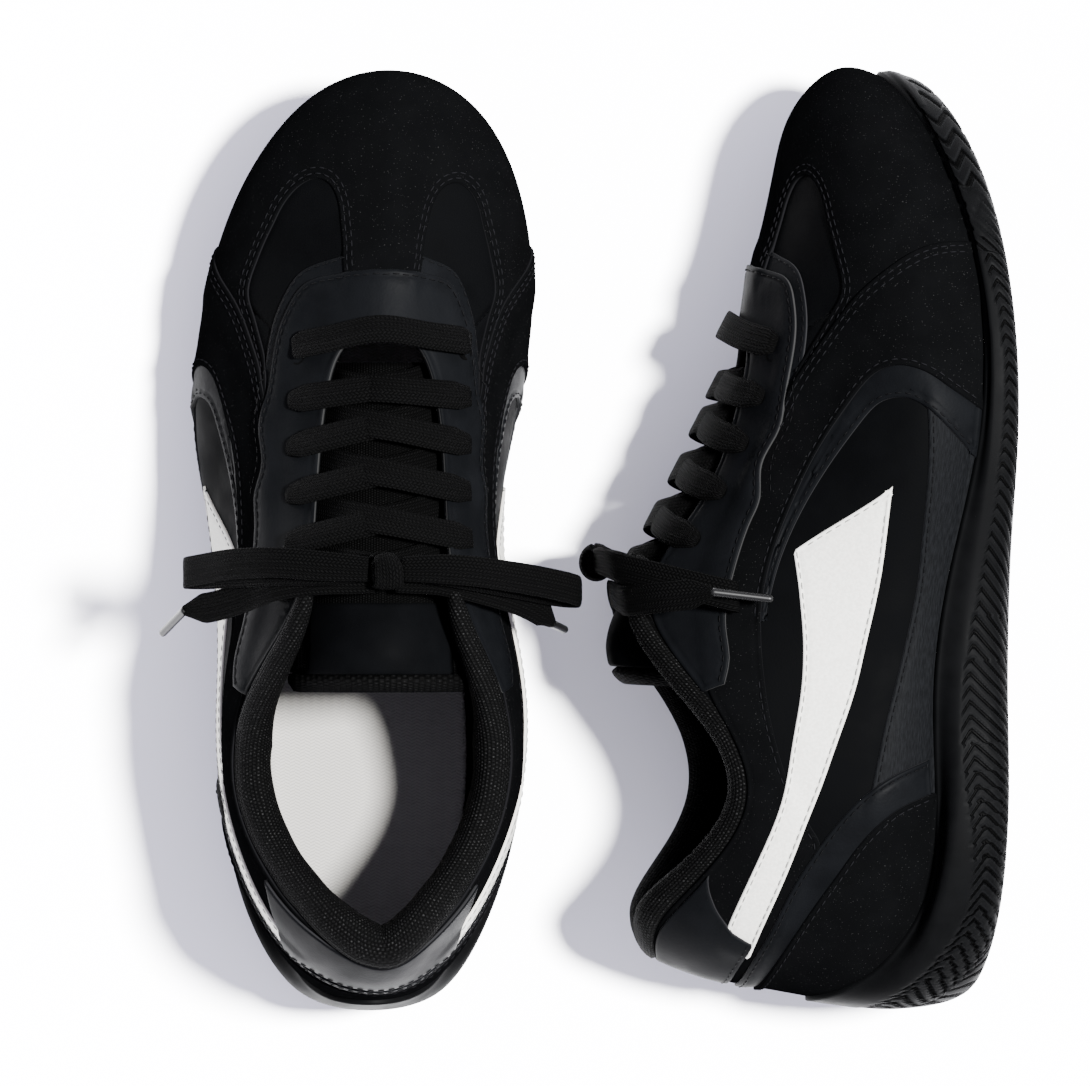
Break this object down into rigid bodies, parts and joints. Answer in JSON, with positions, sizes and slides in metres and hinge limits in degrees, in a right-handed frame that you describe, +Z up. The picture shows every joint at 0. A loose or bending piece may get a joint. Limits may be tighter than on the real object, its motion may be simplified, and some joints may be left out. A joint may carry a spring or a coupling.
{
  "type": "lace-up sport shoes",
  "caption": "Pair of black low-top lace-up cheer shoes with suede overlays, white side stripes and herringbone rubber cup soles; one stands and one lies on its side.",
  "frame": {"origin": "middle of the pair's footprint on the floor", "axes": "+Z up; +Y from the heels towards the toes; +X from the standing left shoe towards the lying right shoe"},
  "size_m": [0.2544, 0.2805, 0.1252],
  "materials": {
    "sole_rubber": "matt moulded rubber with a herringbone tread",
    "foam": "soft closed foam",
    "insole_cloth": "off-white woven top cloth",
    "lining_cloth": "black knit lining",
    "counter_board": "plain fibre board",
    "main_leather": "black leather, soft gloss",
    "suede": "black suede with fine light specks",
    "trim_leather": "smooth black leather, soft gloss",
    "grained_leather": "black leather with a fine lined grain",
    "white_leather": "white leather, soft gloss",
    "collar_knit": "black open knit with a light glitter yarn",
    "tongue_cloth": "black woven cloth over foam",
    "label_leather": "plain black leather patch",
    "binding_cloth": "black folded edge tape",
    "lace_braid": "black flat braid",
    "tip_plastic": "black moulded tip"
  },
  "bodies": {
    "left_shoe": {"left_outsole": "sole_rubber", "left_midsole": "foam", "left_insole": "insole_cloth", "left_lining": "lining_cloth", "left_heel_counter": "counter_board", "left_vamp": "main_leather", "left_quarter_lateral": "main_leather", "left_quarter_medial": "main_leather", "left_toe_cap": "suede", "left_side_overlay_lateral": "suede", "left_side_overlay_medial": "suede", "left_arch_trim_lateral": "trim_leather", "left_arch_trim_medial": "trim_leather", "left_rand_lateral": "grained_leather", "left_rand_medial": "grained_leather", "left_stripe_lateral": "white_leather", "left_stripe_medial": "white_leather", "left_heel_cover": "suede", "left_heel_trim": "trim_leather", "left_heel_tab": "trim_leather", "left_collar": "collar_knit", "left_eyestay_underlay": "trim_leather", "left_eyestay": "trim_leather", "left_lace": "lace_braid", "left_bow": "lace_braid", "left_lace_tails": "lace_braid", "left_aglets": "tip_plastic"},
    "left_tongue": {"left_tongue": "tongue_cloth", "left_tongue_label": "label_leather", "left_tongue_binding": "binding_cloth"},
    "right_shoe": {"right_outsole": "sole_rubber", "right_midsole": "foam", "right_insole": "insole_cloth", "right_lining": "lining_cloth", "right_heel_counter": "counter_board", "right_vamp": "main_leather", "right_quarter_lateral": "main_leather", "right_quarter_medial": "main_leather", "right_toe_cap": "suede", "right_side_overlay_lateral": "suede", "right_side_overlay_medial": "suede", "right_arch_trim_lateral": "trim_leather", "right_arch_trim_medial": "trim_leather", "right_rand_lateral": "grained_leather", "right_rand_medial": "grained_leather", "right_stripe_lateral": "white_leather", "right_stripe_medial": "white_leather", "right_heel_cover": "suede", "right_heel_trim": "trim_leather", "right_heel_tab": "trim_leather", "right_collar": "collar_knit", "right_eyestay_underlay": "trim_leather", "right_eyestay": "trim_leather", "right_lace": "lace_braid", "right_bow": "lace_braid", "right_lace_tails": "lace_braid", "right_aglets": "tip_plastic"},
    "right_tongue": {"right_tongue": "tongue_cloth", "right_tongue_label": "label_leather", "right_tongue_binding": "binding_cloth"}
  },
  "joints": [
    {"name": "right_shoe_roll", "type": "hinge", "parent": "left_shoe", "child": "right_shoe", "pos_m": [0.11378, -0.13964, 0], "axis": [0.0192, 0.9998, 0], "range_deg": [0, 86.11]},
    {"name": "left_tongue_fold", "type": "hinge", "parent": "left_shoe", "child": "left_tongue", "pos_m": [-0.0656, 0.0533, 0.074], "axis": [1, 0, 0], "range_deg": [0, 8]},
    {"name": "right_tongue_fold", "type": "hinge", "parent": "right_shoe", "child": "right_tongue", "pos_m": [0.0466, 0.05471, 0.04819], "axis": [0.0675, -0.0193, 0.9975], "range_deg": [0, 8]}
  ]
}
